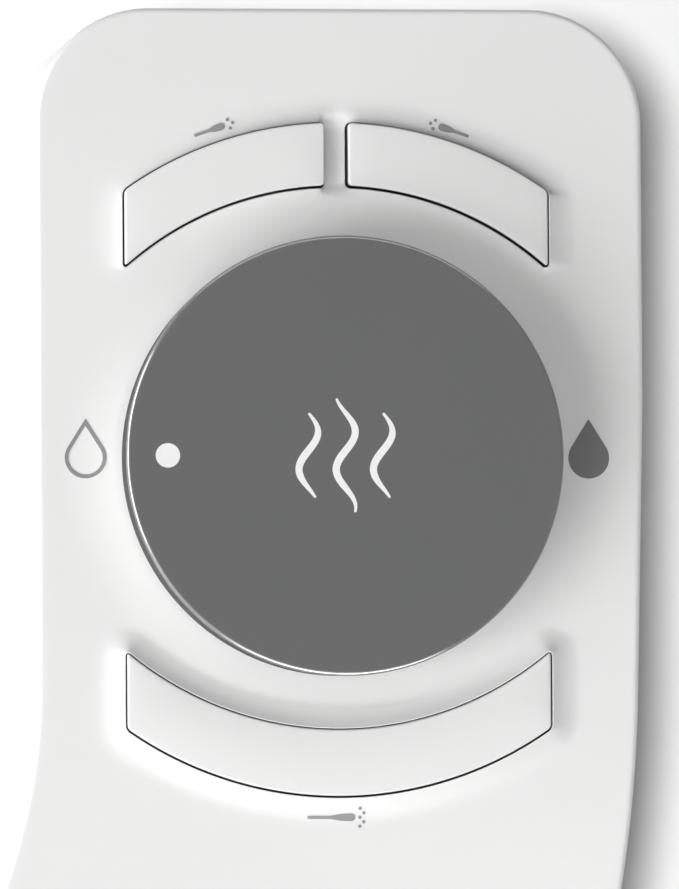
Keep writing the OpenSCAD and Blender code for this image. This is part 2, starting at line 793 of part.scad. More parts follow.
// A point of the ring's section at station a.
// phi runs over the section from the outer edge (0) to the inner one (180).
function ring_point(a, phi, e, low, high, square) =
    let (
        width = norm(seat_edge(a) - hole_edge(a)),
        out = (seat_edge(a) - hole_edge(a)) / width,
        p = ring_mid(a) + out * (width / 2 - e) * power(cos(phi), 2 / square)
    )
    [p.x, p.y, low + (high - low) * power(abs(sin(phi)), 2 / square)];

// A curved skin round the seat: from the seam at z = low to high, between insets e0 and e1.
function skin(a, e0, e1, low, high0, high1, square, n) = concat(
    [for (k = [0 : n]) ring_point(a, 180 * k / n, e0, low, high0, square)],
    [for (k = [n : -1 : 0]) ring_point(a, 180 * k / n, e1, low, high1, square)]
);

stations = [for (i = [0 : steps - 1]) 360 * (i + 0.5) / steps];

module seat_top_shell() {
    color(white) {
        loft([for (a = stations)
            skin(a, 0, seat_wall, ring_seam(a), ring_top(a), ring_top(a) - seat_wall, 3, 10)]);
        for (s = [-1, 1]) seat_ear(s);
    }
}

// The lug that joins the ring to the hinge pin on side s.
module seat_ear(s) {
    x0 = s < 0 ? -seat_ear_x - ear_w : seat_ear_x;
    difference() {
        union() {
            rod_x(ear_r, x0, x0 + ear_w, hinge_y, hinge_z);
            along_x(x0, x0 + ear_w) polygon([
                [hinge_y - 4, hinge_z + 10], [hinge_y - 20, hinge_z], [-110, 55], [-126, 53], [-131, 49],
                [-131, 42], [-126, 40], [-118, 43], [-112, 49.5], [hinge_y - 2, hinge_z - 10.8]]);
        }
        rod_x(hinge_pin_r + 0.06, x0 - 1, x0 + ear_w + 1, hinge_y, hinge_z);
    }
}

module seat_bottom_shell() {
    color(white) loft([for (a = stations)
        skin(a, 0, seat_wall, ring_seam(a) - 0.15, ring_low(a), ring_low(a) + seat_wall, 5, 8)]);
}

module seat_heater_foil() {
    drop = seat_wall + 0.3;
    under = drop + 0.4;
    color("orange") loft([for (a = stations) concat(
        [for (k = [3 : 7]) ring_point(a, 18 * k, drop, ring_seam(a), ring_top(a) - drop, 3)],
        [for (k = [7 : -1 : 3]) ring_point(a, 18 * k, under, ring_seam(a), ring_top(a) - under, 3)]
    )]);
}

bumper_at = [[-128, -370], [128, -370], [-142, -250], [142, -250]];

module seat_bumpers() {
    color("lightgray") for (p = bumper_at) translate([p.x, p.y, 0]) {
        cylinder(r1 = 9, r2 = 10, h = 3, $fn = 32);
        translate([0, 0, 3]) cylinder(r = 10, h = seat_low - 3 - 0.05);
    }
}

// ---------- lid ----------

// The lid is drawn closed and then leant open about the hinge.
module lid_pose() {
    translate([0, hinge_y, hinge_z]) rotate([-lid_open_deg, 0, 0])
        translate([0, -hinge_y, -hinge_z]) children();
}

lid_mid = [0, -280];

// A point of the lid at station a, at the fraction rho of the way out and drop below its top.
function lid_point(a, rho, drop) =
    let (p = lid_mid + rho * (seat_edge(a, lid_grow) - lid_mid))
    [p.x, p.y, seat_top(p.y) + lid_lift + lid_wall + lid_crown * (1 - pow(rho, 2.4)) - drop];

// How far the lid's edge hangs down: not at all at the rear, where it would meet the housing.
function lid_depth(a) = let (y = seat_edge(a, lid_grow).y) lid_skirt * (1 - smooth((y + 200) / 45));

module lid_panel() {
    rho = [0.04, 0.3, 0.55, 0.75, 0.9, 0.97];
    color(white) lid_pose() {
        loft(concat(
            [for (r = rho) [for (a = stations) lid_point(a, r, 0)]],
            [[for (a = stations) lid_point(a, 1, 1.2)]],
            [[for (a = stations) lid_point(a, 1, lid_wall + lid_depth(a))]],
            [[for (a = stations) lid_point(a, 0.985, lid_wall + lid_depth(a))]],
            [[for (a = stations) lid_point(a, 0.98, lid_wall)]],
            [for (k = [5 : -1 : 0]) [for (a = stations) lid_point(a, rho[k] - 0.01, lid_wall)]]
        ), false);
        for (s = [-1, 1]) lid_ear(s);
    }
}

// The lug that joins the lid to the hinge pin on side s.
module lid_ear(s) {
    x0 = s < 0 ? -lid_ear_x - ear_w : lid_ear_x;
    difference() {
        union() {
            rod_x(ear_r, x0, x0 + ear_w, hinge_y, hinge_z);
            along_x(x0, x0 + ear_w) polygon([
                [hinge_y - 2, hinge_z + 10.8], [-112, 65], [-140, 60.5], [-140, 57.5], [-126, 57],
                [-110, 54], [hinge_y - 2, hinge_z - 10.8]]);
        }
        rod_x(hinge_pin_r + 0.06, x0 - 1, x0 + ear_w + 1, hinge_y, hinge_z);
    }
}

module lid_bumpers() {
    pads = [[-140, -250, 7.4], [140, -250, 7.4], [-60, -430, 5.8], [60, -430, 5.8]];
    color("lightgray") lid_pose() for (p = pads)
        translate([p.x, p.y, seat_top(p.y) + 0.4]) cylinder(r = 6, h = p.z);
}

module hinge_caps() {
    color(white) lid_pose() for (s = [-1, 1]) rod_x_side(s, 9, lid_ear_x + ear_w, lid_ear_x + ear_w + 2);
}

rear_cover();
rear_base();
arm_cover();
arm_base();
mounting_plate();
plate_pad();
base_feet();
cover_screws();
arm_screws();
pcb_screws();
control_pcb();
tact_switches();
encoder_body();
dial_seal();
encoder_shaft();
dial_hub();
dial_cap();
front_key();
rear_key();
sanitize_key();
main_pcb();
power_module();
water_heater();
inlet_valve();
inlet_strainer();
flow_diverter();
sanitizer_cell();
internal_hoses();
wiring_harness();
mains_inlet_gland();
nozzle_cradle();
nozzle_motors();
front_pinion();
rear_pinion();
front_nozzle();
front_nozzle_tip();
rear_nozzle();
rear_nozzle_tip();
release_button();
hinge_pins();
hinge_bushes();
seat_damper();
lid_damper();
seat_top_shell();
seat_bottom_shell();
seat_heater_foil();
seat_bumpers();
lid_panel();
lid_bumpers();
hinge_caps();
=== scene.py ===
"""The looks of the electric bidet seat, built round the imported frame.

Shapes are drawn in millimetres, in the CAD's own frame, and become metres when a piece is made.
"""

import json
import math

import bmesh
import bpy
import numpy as np
from mathutils import Matrix, Vector
from mathutils.geometry import delaunay_2d_cdt

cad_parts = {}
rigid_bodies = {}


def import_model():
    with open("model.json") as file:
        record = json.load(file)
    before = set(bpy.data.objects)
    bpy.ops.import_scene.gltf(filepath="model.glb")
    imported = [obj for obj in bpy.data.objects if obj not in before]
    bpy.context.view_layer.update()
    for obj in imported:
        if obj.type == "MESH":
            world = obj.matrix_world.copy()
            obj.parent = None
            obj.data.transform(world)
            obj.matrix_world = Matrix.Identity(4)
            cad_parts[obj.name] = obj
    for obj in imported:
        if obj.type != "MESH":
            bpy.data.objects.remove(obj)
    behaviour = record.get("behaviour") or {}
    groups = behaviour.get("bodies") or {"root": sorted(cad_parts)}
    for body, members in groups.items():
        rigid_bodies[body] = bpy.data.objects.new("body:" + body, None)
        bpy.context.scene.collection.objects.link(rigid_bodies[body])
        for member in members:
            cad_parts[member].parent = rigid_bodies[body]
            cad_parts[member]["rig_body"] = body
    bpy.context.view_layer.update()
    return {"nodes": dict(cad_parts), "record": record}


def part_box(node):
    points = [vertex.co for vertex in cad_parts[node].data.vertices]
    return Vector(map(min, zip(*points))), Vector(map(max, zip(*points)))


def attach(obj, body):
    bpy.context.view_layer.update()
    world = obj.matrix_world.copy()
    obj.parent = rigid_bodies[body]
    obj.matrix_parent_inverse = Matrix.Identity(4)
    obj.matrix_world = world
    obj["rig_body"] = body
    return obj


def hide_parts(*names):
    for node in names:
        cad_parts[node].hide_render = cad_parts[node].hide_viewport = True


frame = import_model()

MM = 0.001
scene = bpy.context.scene


def node_box(node):
    """A node's lowest and highest corners in millimetres."""
    low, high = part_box(node)
    return np.array(low) / MM, np.array(high) / MM


# ---------- sizes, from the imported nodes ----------

arm_low, arm_high = node_box("arm_cover")
arm_bottom = node_box("arm_base")[0][2]
dial_low, dial_high = node_box("dial_cap")
cover_high = node_box("rear_cover")[1]
pin_low, pin_high = node_box("hinge_pins")
seam_z = arm_low[2]
panel_top = arm_high[2]
outer_x = arm_low[0]
tip_y = arm_low[1]
side_x = arm_high[0]
dial = (dial_low[:2] + dial_high[:2]) / 2
dial_r = (dial_high[0] - dial_low[0]) / 2
dial_top = dial_high[2]
hinge = (pin_low[1:] + pin_high[1:]) / 2
house_half_w = cover_high[0]
nose_half_w = -side_x - 1
joints = {j["name"]: j for j in frame["record"]["behaviour"]["joints"]}
lid_open = math.radians(joints["lid_hinge"]["range_deg"][1])

# the arm's outline, as in the CAD
panel_w = 85.2
inner_x = outer_x + panel_w
corner_r = 16
neck = np.array([-115.0, -188.0])  # centre of the hollow curve beside the seat
neck_r = 83
back_r = 190  # the outer side's bend into the housing
taper = math.radians(1.3)
taper_y = (-227, -186)
step_y = -50
arm_gap = 0.5
wall = 2.5
panel_thick = 3


# ---------- drawing helpers ----------


def arc(c, r, a0, a1, n):
    """n + 1 points on an arc about c, from a0 to a1 degrees."""
    a = np.radians(np.linspace(a0, a1, n + 1))
    return np.array(c) + r * np.stack([np.cos(a), np.sin(a)], 1)


def line(a, b, n):
    """n points from a towards b, without b."""
    t = np.arange(n)[:, None] / n
    return np.array(a) + t * (np.array(b) - np.array(a))


def smooth(t):
    """A soft step from 0 to 1."""
    t = np.clip(t, 0, 1)
    return t * t * (3 - 2 * t)


def normals(loop):
    """Outward normals of a closed anticlockwise loop."""
    d = np.roll(loop, -1, 0) - np.roll(loop, 1, 0)
    n = np.stack([d[:, 1], -d[:, 0]], 1)
    return n / np.linalg.norm(n, axis=1)[:, None]


def grown(loop, g):
    """A closed anticlockwise loop moved outward by g."""
    return loop + g * normals(loop)


def anticlockwise(loop):
    """The same closed loop, turned round if it runs clockwise."""
    x, y = loop[:, 0], loop[:, 1]
    area = np.sum(x * np.roll(y, -1) - y * np.roll(x, -1))
    return loop if area > 0 else loop[::-1]


def inside(points, loop):
    """Which points lie in a closed loop."""
    hit = np.zeros(len(points), bool)
    x, y = points[:, 0], points[:, 1]
    for (x0, y0), (x1, y1) in zip(loop, np.roll(loop, -1, 0)):
        if y0 != y1:
            cross = (y0 > y) != (y1 > y)
            hit ^= cross & (x < (x1 - x0) * (y - y0) / (y1 - y0) + x0)
    return hit


def distance(points, loop):
    """Distance from each point to a closed loop."""
    best = np.full(len(points), 1e9)
    for a, b in zip(loop, np.roll(loop, -1, 0)):
        d = b - a
        t = np.clip(((points - a) @ d) / max(d @ d, 1e-12), 0, 1)
        best = np.minimum(best, np.linalg.norm(points - a - t[:, None] * d, axis=1))
    return best


def level(z):
    """A height for Form.fill that is the same everywhere."""
    return lambda points: np.full(len(points), z)


class Form:
    """A mesh in the making: points in millimetres, faces, and a material number for each face."""

    def __init__(self):
        self.points = []
        self.faces = []
        self.marks = []

    def loop(self, xy, z):
        """Adds a loop at height z, a number or one for each point."""
        z = np.broadcast_to(z, len(xy))
        return self.add(np.column_stack([xy, z]))

    def add(self, xyz):
        """Adds points, and gives their numbers."""
        first = len(self.points)
        self.points.extend(map(tuple, xyz))
        return list(range(first, first + len(xyz)))

    def face(self, ids, mark=0):
        self.faces.append(tuple(ids))
        self.marks.append(mark)

    def strip(self, a, b, mark=0, closed=True):
        """Joins two rows of as many points with quads."""
        n = len(a)
        for i in range(n if closed else n - 1):
            j = (i + 1) % n
            self.face((a[i], a[j], b[j], b[i]), mark)

    def fill(self, outer, holes, free, height):
        """Fills between the loop outer and the loops holes, through the free points.

        The function height gives the free points' heights. The loops keep their own.
        """
        ids = list(outer)
        edges = []
        for ring in [outer] + holes:
            start = len(ids) if ring is not outer else 0
            if ring is not outer:
                ids += ring
            n = len(ring)
            edges += [(start + i, start + (i + 1) % n) for i in range(n)]
        flat = [Vector(self.points[i][:2]) for i in ids] + [Vector(p) for p in free]
        points, _, faces, origin, _, _ = delaunay_2d_cdt(flat, edges, [], 0, 1e-5)
        points = np.array([tuple(p) for p in points])
        z = height(points)
        where = []
        for i, source in enumerate(origin):
            known = min(source) if len(source) else len(ids)
            if known < len(ids):
                where.append(ids[known])
            else:
                where.append(self.add([(points[i][0], points[i][1], z[i])])[0])
        centres = np.array([points[list(f)].mean(0) for f in faces])
        xy = np.array(self.points)[:, :2]
        keep = inside(centres, xy[outer])
        for hole in holes:
            keep &= ~inside(centres, xy[hole])
        for f, good in zip(faces, keep):
            if good:
                self.face([where[i] for i in f])

    def cap(self, ring):
        """Closes a loop with flat faces between its own points."""
        self.fill(ring, [], [], level(self.points[ring[0]][2]))

    def lathe(self, profile, at, n, marks=None):
        """Turns a profile of (radius, z), which starts and ends on the axis, in n steps."""
        a = np.linspace(0, 2 * math.pi, n, endpoint=False)
        rings = []
        for r, z in profile:
            if r < 1e-6:
                rings.append(self.add([(at[0], at[1], z)]))
            else:
                rings.append(self.loop(np.array(at) + r * np.stack([np.cos(a), np.sin(a)], 1), z))
        for k, (p, q) in enumerate(zip(rings, rings[1:])):
            mark = marks[k] if marks else 0
            for i in range(n):
                j = (i + 1) % n
                ring = [p[i % len(p)], p[j % len(p)], q[j % len(q)], q[i % len(q)]]
                self.face(list(dict.fromkeys(ring)), mark)

    def include(self, other):
        """Takes in another form's points and faces."""
        first = len(self.points)
        self.points += other.points
        self.faces += [tuple(first + i for i in f) for f in other.faces]
        self.marks += other.marks

    def turned(self, matrix):
        """Moves every point by a 4 x 4 matrix."""
        self.points = [tuple(matrix @ Vector(p)) for p in self.points]
        return self

    def make(self, name, materials, body, stands_for=(), angle=30):
        """Makes the piece that rides on the body. Edges over angle degrees stay crisp."""
        mesh = bpy.data.meshes.new(name)
        mesh.from_pydata([tuple(c * MM for c in p) for p in self.points], [], self.faces)
        mesh.validate()
        for m in materials if isinstance(materials, list) else [materials]:
            mesh.materials.append(m)
        mesh.polygons.foreach_set("material_index", self.marks)
        piece = bpy.data.objects.new(name, mesh)
        scene.collection.objects.link(piece)
        turn_faces_out(mesh)
        mesh.shade_smooth()
        mesh.set_sharp_from_angle(angle=math.radians(angle))
        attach(piece, body)
        if stands_for:
            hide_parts(*stands_for)


def turn_faces_out(mesh):
    b = bmesh.new()
    b.from_mesh(mesh)
    bmesh.ops.recalc_face_normals(b, faces=b.faces)
    b.to_mesh(mesh)
    b.free()


# ---------- materials ----------


def material(name, colour, rough, bump=0.02, grain=900, ior=None, spec=None, coat=None, metal=0.0,
             tint=0.012, wear=0.03, soften=0.0, pattern=None):
    """A surface with fine grain, faintly uneven colour and roughness, and softened edges.

    Tint and wear are how far the colour and roughness vary, and soften is the edges' radius in
    metres. The pattern is brushed, tracks or mesh.
    """
    m = bpy.data.materials.new(name)
    m.use_nodes = True
    t = m.node_tree
    shader = t.nodes["Principled BSDF"]
    where = t.nodes.new("ShaderNodeTexCoord")

    def noise(scale, detail):
        n = t.nodes.new("ShaderNodeTexNoise")
        n.inputs["Scale"].default_value = scale
        n.inputs["Detail"].default_value = detail
        t.links.new(where.outputs["Object"], n.inputs["Vector"])
        return n

    def wave(direction, distortion=0):
        n = t.nodes.new("ShaderNodeTexWave")
        n.bands_direction = direction
        n.inputs["Scale"].default_value = 260
        n.inputs["Distortion"].default_value = distortion
        t.links.new(where.outputs["Object"], n.inputs["Vector"])
        return n

    def ramp(source, low, high):
        r = t.nodes.new("ShaderNodeMapRange")
        r.interpolation_type = "SMOOTHERSTEP"
        r.inputs["From Min"].default_value = 0.2
        r.inputs["From Max"].default_value = 0.8
        r.inputs["To Min"].default_value = low
        r.inputs["To Max"].default_value = high
        t.links.new(source.outputs["Fac"], r.inputs["Value"])
        return r

    broad = noise(14, 3)
    fine = noise(grain, 2)
    mix = t.nodes.new("ShaderNodeMixRGB")
    mix.inputs["Color1"].default_value = [c * (1 - tint) for c in colour] + [1]
    mix.inputs["Color2"].default_value = [min(1, c * (1 + tint)) for c in colour] + [1]
    t.links.new(broad.outputs["Fac"], mix.inputs["Fac"])
    t.links.new(mix.outputs["Color"], shader.inputs["Base Color"])
    uneven = ramp(noise(60, 4), rough - wear, rough + wear)
    t.links.new(uneven.outputs["Result"], shader.inputs["Roughness"])
    shader.inputs["Metallic"].default_value = metal
    if ior:
        shader.inputs["IOR"].default_value = ior
    if spec is not None:
        shader.inputs["Specular IOR Level"].default_value = spec
    if coat:
        shader.inputs["Coat Weight"].default_value = coat
        shader.inputs["Coat Roughness"].default_value = 0.08
    relief = t.nodes.new("ShaderNodeBump")
    relief.inputs["Strength"].default_value = bump
    relief.inputs["Distance"].default_value = 0.0002
    height = fine.outputs["Fac"]
    if pattern == "brushed":
        stretch = t.nodes.new("ShaderNodeMapping")
        stretch.inputs["Scale"].default_value = (0.04, 1, 1)
        t.links.new(where.outputs["Object"], stretch.inputs["Vector"])
        t.links.new(stretch.outputs["Vector"], fine.inputs["Vector"])
    elif pattern:
        tracks = pattern == "tracks"
        first = wave("DIAGONAL", 4) if tracks else wave("X")
        second = fine if tracks else wave("Y")
        both = t.nodes.new("ShaderNodeMath")
        both.operation = "MULTIPLY"
        t.links.new(first.outputs["Fac"], both.inputs[0])
        t.links.new(second.outputs["Fac"], both.inputs[1])
        height = both.outputs["Value"]
    t.links.new(height, relief.inputs["Height"])
    if soften:
        edge = t.nodes.new("ShaderNodeBevel")
        edge.samples = 4
        edge.inputs["Radius"].default_value = soften
        t.links.new(edge.outputs["Normal"], relief.inputs["Normal"])
    t.links.new(relief.outputs["Normal"], shader.inputs["Normal"])
    return m


white = material("white_shell", (0.86, 0.86, 0.855), 0.32, bump=0.015)
white_soft = material("white_shell_soft", (0.86, 0.86, 0.855), 0.32, bump=0.015, soften=0.0009)
white_key = material("white_key", (0.85, 0.85, 0.845), 0.38)
# painted shade: near-black paint on the walls inside the keys' gaps, for the shade that falls in
# the narrow gaps
painted_gap_shade = material("painted_gap_shade", (0.03, 0.03, 0.03), 0.7, bump=0.05)
dial_face = material("dial_face", (0.128, 0.1315, 0.129), 0.62, bump=0.03, grain=2600, spec=0.3)
dial_edge = material("dial_edge", (0.17, 0.173, 0.17), 0.16, bump=0.01, ior=1.7, spec=1.0)
# painted shade: the dial's side wall is painted near black, far darker than its grey edge, a
# painted dark reflection for the dark band round the dial
dial_wall_painted_shade = material("dial_wall_painted_shade", (0.025, 0.0255, 0.025), 0.55, bump=0.02, grain=2600, spec=0.12)
print_white = material("print_white", (0.92, 0.92, 0.92), 0.45)
print_grey = material("print_grey", (0.25, 0.25, 0.25), 0.5)
print_sign = material("print_sign", (0.3, 0.3, 0.3), 0.5)
print_hot = material("print_hot", (0.2, 0.2, 0.2), 0.5)


# ---------- control arm ----------


def arm_loop(e):
    """The arm seen from above, drawn in by e."""
    side = side_x - e
    rear = -house_half_w - arm_gap - e
    neck_a = math.degrees(math.acos((side - neck[0]) / (neck_r + e)))
    outer = outer_x + (taper_y[1] - taper_y[0]) * math.tan(taper)
    t = math.degrees(taper)
    back_c = (outer + back_r * math.cos(taper), taper_y[1] - back_r * math.sin(taper))
    back_a = 180 - math.degrees(math.acos((back_c[0] - rear) / (back_r - e)))
    r = corner_r
    turn = arc(neck, neck_r + e, neck_a, 180, 72)
    near = arc((inner_x - r, tip_y + r), r - e, 0, -90, 28)
    far = arc((outer_x + r, tip_y + r), r - e, -90, -180, 28)
    back = arc(back_c, back_r - e, 180 - t, back_a, 72)
    end = np.array([[rear, step_y - arm_gap - e], [side, step_y - arm_gap - e]])
    return anticlockwise(np.concatenate([
        turn[:-1], line(turn[-1], near[0], 30), near[:-1], line(near[-1], far[0], 20), far[:-1],
        line(far[-1], (outer_x + e, taper_y[0]), 14), line((outer_x + e, taper_y[0]), back[0], 14),
        back[:-1], line(back[-1], end[0], 8), line(end[0], end[1], 24), line(end[1], turn[0], 6),
    ]))


# each key lies between two arcs: radius, and how far along Y the arc's centre lies from the dial's
front_arcs = ((51.1, 4.2), (44.5, 6.3))
sanitize_arcs = ((51.5, -4.5), (46.2, -8.4))
keys_half_w = 29.7
mid_gap = 1.7  # half the gap between the front and rear keys
key_round = 0.6
key_play = 0.3
shaft_hole_r = 9.5
seam_lip = 0.3


def along(path):
    """How far along an open path each of its points lies."""
    return np.concatenate([[0], np.cumsum(np.linalg.norm(np.diff(path, axis=0), axis=1))])


def key_loop(x0, x1, arcs, side):
    """A key's outline from x0 to x1 with its corners rounded, on the dial's -Y or +Y side."""

    def curve(radius, back, a, b, n):
        x = np.linspace(a, b, n)
        return dial + np.stack([x, back + side * np.sqrt(radius ** 2 - x ** 2)], 1)

    top = curve(*arcs[0], x0, x1, 400)
    low = curve(*arcs[1], x1, x0, 400)
    edges = [top, np.array([top[-1], low[0]]), low, np.array([low[-1], top[0]])]
    parts = []
    for edge, n in zip(edges, (70, 14, 70, 14)):
        steps = along(edge)
        at = np.linspace(key_round, steps[-1] - key_round, n)
        parts.append(np.stack([np.interp(at, steps, edge[:, k]) for k in (0, 1)], 1))
    loop = []
    for k, part in enumerate(parts):
        after = parts[(k + 1) % 4][0]
        corner = edges[k][-1]
        t = np.linspace(0, 1, 8)[1:-1, None]
        loop += [part, (1 - t) ** 2 * part[-1] + 2 * t * (1 - t) * corner + t * t * after]
    return anticlockwise(np.concatenate(loop))


key_loops = {
    "front_key": key_loop(mid_gap, keys_half_w, front_arcs, -1),
    "rear_key": key_loop(-keys_half_w, -mid_gap, front_arcs, -1),
    "sanitize_key": key_loop(-keys_half_w, keys_half_w, sanitize_arcs, 1),
}
key_flare = 1.5  # the panel's rise at the sanitize key, and its reach
flare_w = 4.2
left_share = 0.35  # the rise past the front key's outer end, against the rear key's
swell_rise = 1.1  # the rise beside the dial, and its reach
swell_w = 8.0
dip_depth = 1.1  # the hollow between the front and rear keys


def flare(d, width):
    """A foot that is steepest at its top."""
    return (1 - np.clip(d / width, 0, 1)) ** 2


def end_flare(beyond, rise):
    """The flare past one end of the front or rear key."""
    return rise * flare(beyond, flare_w) * smooth((beyond + 0.6) / 0.6)


def panel_height(xy):
    """The panel's top, which flares up to the keys and a little to the dial."""
    p = xy - dial
    x, y = p[:, 0], p[:, 1]
    rise = key_flare * flare(distance(xy, key_loops["sanitize_key"]), flare_w)
    # how far a point lies outside the arcs of the front and rear keys, on the far and near side
    (high_r, high_back), (low_r, low_back) = front_arcs
    above = np.linalg.norm(p - (0, high_back), axis=1) - high_r
    below = low_r - np.linalg.norm(p - (0, low_back), axis=1)
    for name in ("front_key", "rear_key"):
        share = 0.1 + 0.2 * smooth(-below / 3)
        rise = np.maximum(rise, share * key_flare * flare(distance(xy, key_loops[name]), flare_w))
    # past their outer ends
    end_top = high_back - math.sqrt(high_r ** 2 - keys_half_w ** 2)
    end_low = low_back - math.sqrt(low_r ** 2 - keys_half_w ** 2)
    beside = smooth((y - end_top) / 1.4 + 0.5) * smooth((end_low - y) / 1.4 + 0.5)
    left = beside * end_flare(x - keys_half_w, left_share * key_flare)
    right = beside * end_flare(-x - keys_half_w, key_flare)
    # between them: steep at the front key, and gentle towards the rear key
    ends = (1 - smooth((np.maximum(above, below) + 0.8) / 2.4)) * (y < 0)
    dip = ends * smooth((x + 4.6) / 5.0) * smooth((mid_gap + 0.6 - x) / 0.7)
    # on the dial's +X side
    away = np.linalg.norm(p, axis=1)
    facing = np.clip(x / np.maximum(away, 1), 0, 1) ** 2
    swell = swell_rise * facing * flare(away - dial_r, swell_w)
    return panel_top + np.max([rise * (1 - dip), left, right, swell], axis=0) - dip_depth * dip


def thin_out(points, gap):
    """Drops points that lie closer than gap to an earlier one."""
    seen = {}
    kept = []
    for p in points:
        cell = (int(p[0] // gap), int(p[1] // gap))
        around = [(cell[0] + i, cell[1] + j) for i in (-1, 0, 1) for j in (-1, 0, 1)]
        near = [seen[c] for c in around if c in seen]
        if all((p[0] - q[0]) ** 2 + (p[1] - q[1]) ** 2 > gap * gap for q in near):
            seen[cell] = p
            kept.append(p)
    return np.array(kept)


def panel_points():
    """Points to mesh the panel's top through: dense where it curves, and clear of its holes."""
    names = list(key_loops)
    free = []
    # rings round each key, left out where another key is nearer
    for d in (0.6, 0.85, 1.15, 1.5, 1.9, 2.35, 2.85, 3.4, 4.0, 4.65, 5.4):
        for name in names:
            ring = grown(key_loops[name], d)
            others = (distance(ring, key_loops[n]) for n in names if n != name)
            nearest = min(others, key=lambda x: x.min())
            free.append(ring[nearest > d - 1e-6])
    # rings inside the edge, and a grid within them
    for e in (1.1, 1.8, 2.8, 4.2):
        free.append(arm_loop(e))
    low, high = arm_loop(0).min(0), arm_loop(0).max(0)
    grid_step = 2.6
    xs = np.arange(low[0] + 5, high[0], grid_step)
    ys = np.arange(low[1] + 5, high[1], grid_step)
    grid = np.stack(np.meshgrid(xs, ys), -1).reshape(-1, 2)
    free.append(grid[inside(grid, arm_loop(2 * grid_step))])
    # the dial's swell, and the gap between the front and rear keys
    for d in np.arange(0.3, 8.6, 0.7):
        free.append(arc(dial, dial_r + d, -75, 75, 110))
    for y in np.arange(35, 54, 0.8):
        free.append(np.stack([np.linspace(-3.2, 3.2, 9) + dial[0], np.full(9, dial[1] - y)], 1))
    free = np.concatenate(free)
    near = np.min([distance(free, key_loops[n]) for n in names], axis=0)
    hidden = np.any([inside(free, key_loops[n]) for n in names], axis=0)
    clear = np.linalg.norm(free - dial, axis=1) > shaft_hole_r + 0.5
    return thin_out(free[(near > 0.55) & ~hidden & clear], 0.33)


def quarter(r, steps):
    """(inset, drop) pairs round an edge of radius r, from its side to its top."""
    turns = [math.radians(90 * k / steps) for k in range(steps + 1)]
    return [(r * (1 - math.cos(a)), r * (1 - math.sin(a))) for a in turns]


def make_arm_cover():
    form = Form()
    loops = [form.loop(arm_loop(seam_lip), seam_z), form.loop(arm_loop(0), seam_z + seam_lip)]
    for inset, drop in quarter(0.7, 6):
        loops.append(form.loop(arm_loop(inset), panel_top - drop))
    for a, b in zip(loops, loops[1:]):
        form.strip(a, b)
    panel_under = panel_top - panel_thick
    holes, low_holes = [], []
    for key in key_loops.values():
        edge = grown(key, key_play - 0.07) + np.array([0.01, 0.08])
        rim = grown(edge, 0.12)
        top = form.loop(rim, panel_height(rim))
        lip = form.loop(edge, panel_height(edge) - 0.12)
        shade = form.loop(edge, panel_height(edge) - 0.3)
        low = form.loop(edge, panel_under)
        form.strip(top, lip)
        form.strip(lip, shade)
        # the hole's wall below the lip is painted near black: painted shade in the gap round the
        # key
        form.strip(shade, low, 1)
        holes.append(top)
        low_holes.append(low)
    shaft = arc(dial, shaft_hole_r, 0, 360, 64)[:-1]
    top = form.loop(shaft, panel_height(shaft))
    low = form.loop(shaft, panel_under)
    form.strip(top, low)
    holes.append(top)
    low_holes.append(low)
    form.fill(loops[-1], holes, panel_points(), panel_height)
    under = form.loop(arm_loop(wall), panel_under)
    rim = form.loop(arm_loop(wall), seam_z)
    form.fill(under, low_holes, [], level(panel_under))
    form.strip(under, rim)
    form.strip(rim, loops[0])
    form.make("arm_cover_shell", [white, painted_gap_shade], "housing", ["arm_cover"])


def make_arm_base():
    form = Form()
    inner = form.loop(arm_loop(wall), seam_z)
    floor = form.loop(arm_loop(wall), arm_bottom + wall)
    loops = [inner, form.loop(arm_loop(seam_lip), seam_z)]
    loops.append(form.loop(arm_loop(0), seam_z - seam_lip))
    for inset, drop in quarter(1.5, 5):
        loops.append(form.loop(arm_loop(inset), arm_bottom + drop))
    for a, b in zip(loops, loops[1:]):
        form.strip(a, b)
    form.strip(inner, floor)
    form.cap(floor)
    form.cap(loops[-1])
    form.make("arm_base_shell", white, "housing", ["arm_base"])


def make_key(name):
    form = Form()
    loop = key_loops[name]
    low, high = node_box(name)
    top = high[2]
    ceiling = panel_top - panel_thick - 0.3
    loops = []
    for drop, inset in quarter(0.3, 5):
        loops.append(form.loop(grown(loop, -inset), top - drop))
    # from here down the key's side and flange are painted near black: painted shade in the gap
    # round the key
    shade = len(loops)
    loops.append(form.loop(loop, top - 1.05))
    loops.append(form.loop(loop, ceiling))
    flange = grown(loop, 1.2)
    loops.append(form.loop(flange, ceiling))
    loops.append(form.loop(flange, ceiling - 1.6))
    for k, (a, b) in enumerate(zip(loops, loops[1:])):
        form.strip(a, b, 1 if k >= shade else 0)
    form.cap(loops[0])
    form.cap(loops[-1])
    x = {"front_key": 1, "rear_key": -1, "sanitize_key": 0}[name] * (mid_gap + keys_half_w) / 2
    ys = [p[1] for p in loop if abs(p[0] - dial[0] - x) < 0.5]
    middle = (dial[0] + x, (min(ys) + max(ys)) / 2)
    foot, r = low[2], 2.2
    stem = [(0, ceiling - 1), (r, ceiling - 1), (r, foot + 0.3), (1.9, foot), (0, foot)]
    form.lathe(stem, middle, 32)
    form.make(name + "_cap", [white_key, painted_gap_shade], name, [name])


